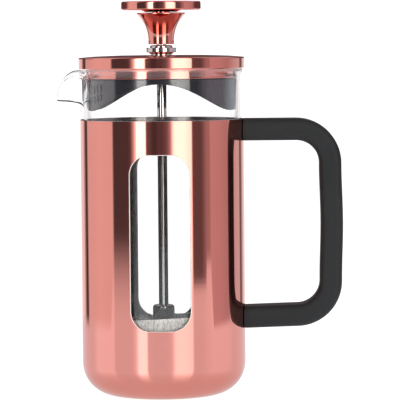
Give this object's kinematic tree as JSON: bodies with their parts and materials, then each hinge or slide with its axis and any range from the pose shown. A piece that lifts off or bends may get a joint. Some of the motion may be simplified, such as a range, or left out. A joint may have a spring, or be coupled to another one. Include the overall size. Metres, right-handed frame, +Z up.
{
  "type": "french press",
  "caption": "Glass beaker in a copper-finished frame with side windows and a D handle, with a lid, strainer collar and a plunger with a mesh filter.",
  "frame": {"origin": "centre of the frame's flat underside, on the press's axis", "axes": "+Z up along the plunger rod, +X towards the handle, -X towards the spout, the frame's windows face -Y and +Y"},
  "size_m": [0.1306, 0.076, 0.1802],
  "materials": {
    "copper": "polished copper plating over thin pressed steel",
    "handle_plastic": "fine matte black moulding",
    "insert_brass": "turned brass",
    "bright_steel": "bright polished steel",
    "seat_rubber": "soft matte rubber",
    "beaker_glass": "clear fire-polished borosilicate glass",
    "collar_plastic": "glossy dark moulding",
    "filter_steel": "stainless sheet and woven mesh"
  },
  "bodies": {
    "frame": {"frame_shell": "copper", "handle": "handle_plastic", "handle_insert_upper": "insert_brass", "handle_insert_lower": "insert_brass", "handle_screw_upper": "bright_steel", "handle_screw_lower": "bright_steel", "seat_ring": "seat_rubber"},
    "beaker": {"beaker": "beaker_glass"},
    "lid_bush": {"guide_bush": "bright_steel", "bush_nut": "bright_steel"},
    "lid": {"lid_shell": "copper", "strainer_collar": "collar_plastic"},
    "rod_guide": {"rod_sleeve": "bright_steel"},
    "plunger": {"plunger_rod": "bright_steel", "knob_neck": "copper", "knob_cap": "copper", "knob_insert": "insert_brass", "filter_hub": "bright_steel", "filter_screen": "filter_steel", "spring_plate": "filter_steel", "coil_spring": "filter_steel", "cross_plate": "filter_steel", "filter_nut": "bright_steel"}
  },
  "joints": [
    {"name": "beaker_lift", "type": "slide", "parent": "frame", "child": "beaker", "axis": [0, 0, 1], "range_m": [0, 0.13]},
    {"name": "lid_lift", "type": "slide", "parent": "beaker", "child": "lid_bush", "axis": [0, 0, 1], "range_m": [0, 0.135]},
    {"name": "lid_turn", "type": "hinge", "parent": "lid_bush", "child": "lid", "pos_m": [0, 0, 0.1566], "axis": [0, 0, 1], "continuous": true},
    {"name": "plunger_spin", "type": "hinge", "parent": "lid_bush", "child": "rod_guide", "pos_m": [0, 0, 0.1566], "axis": [0, 0, 1], "continuous": true},
    {"name": "plunger_slide", "type": "slide", "parent": "rod_guide", "child": "plunger", "axis": [0, 0, 1], "range_m": [0, 0.092]}
  ]
}
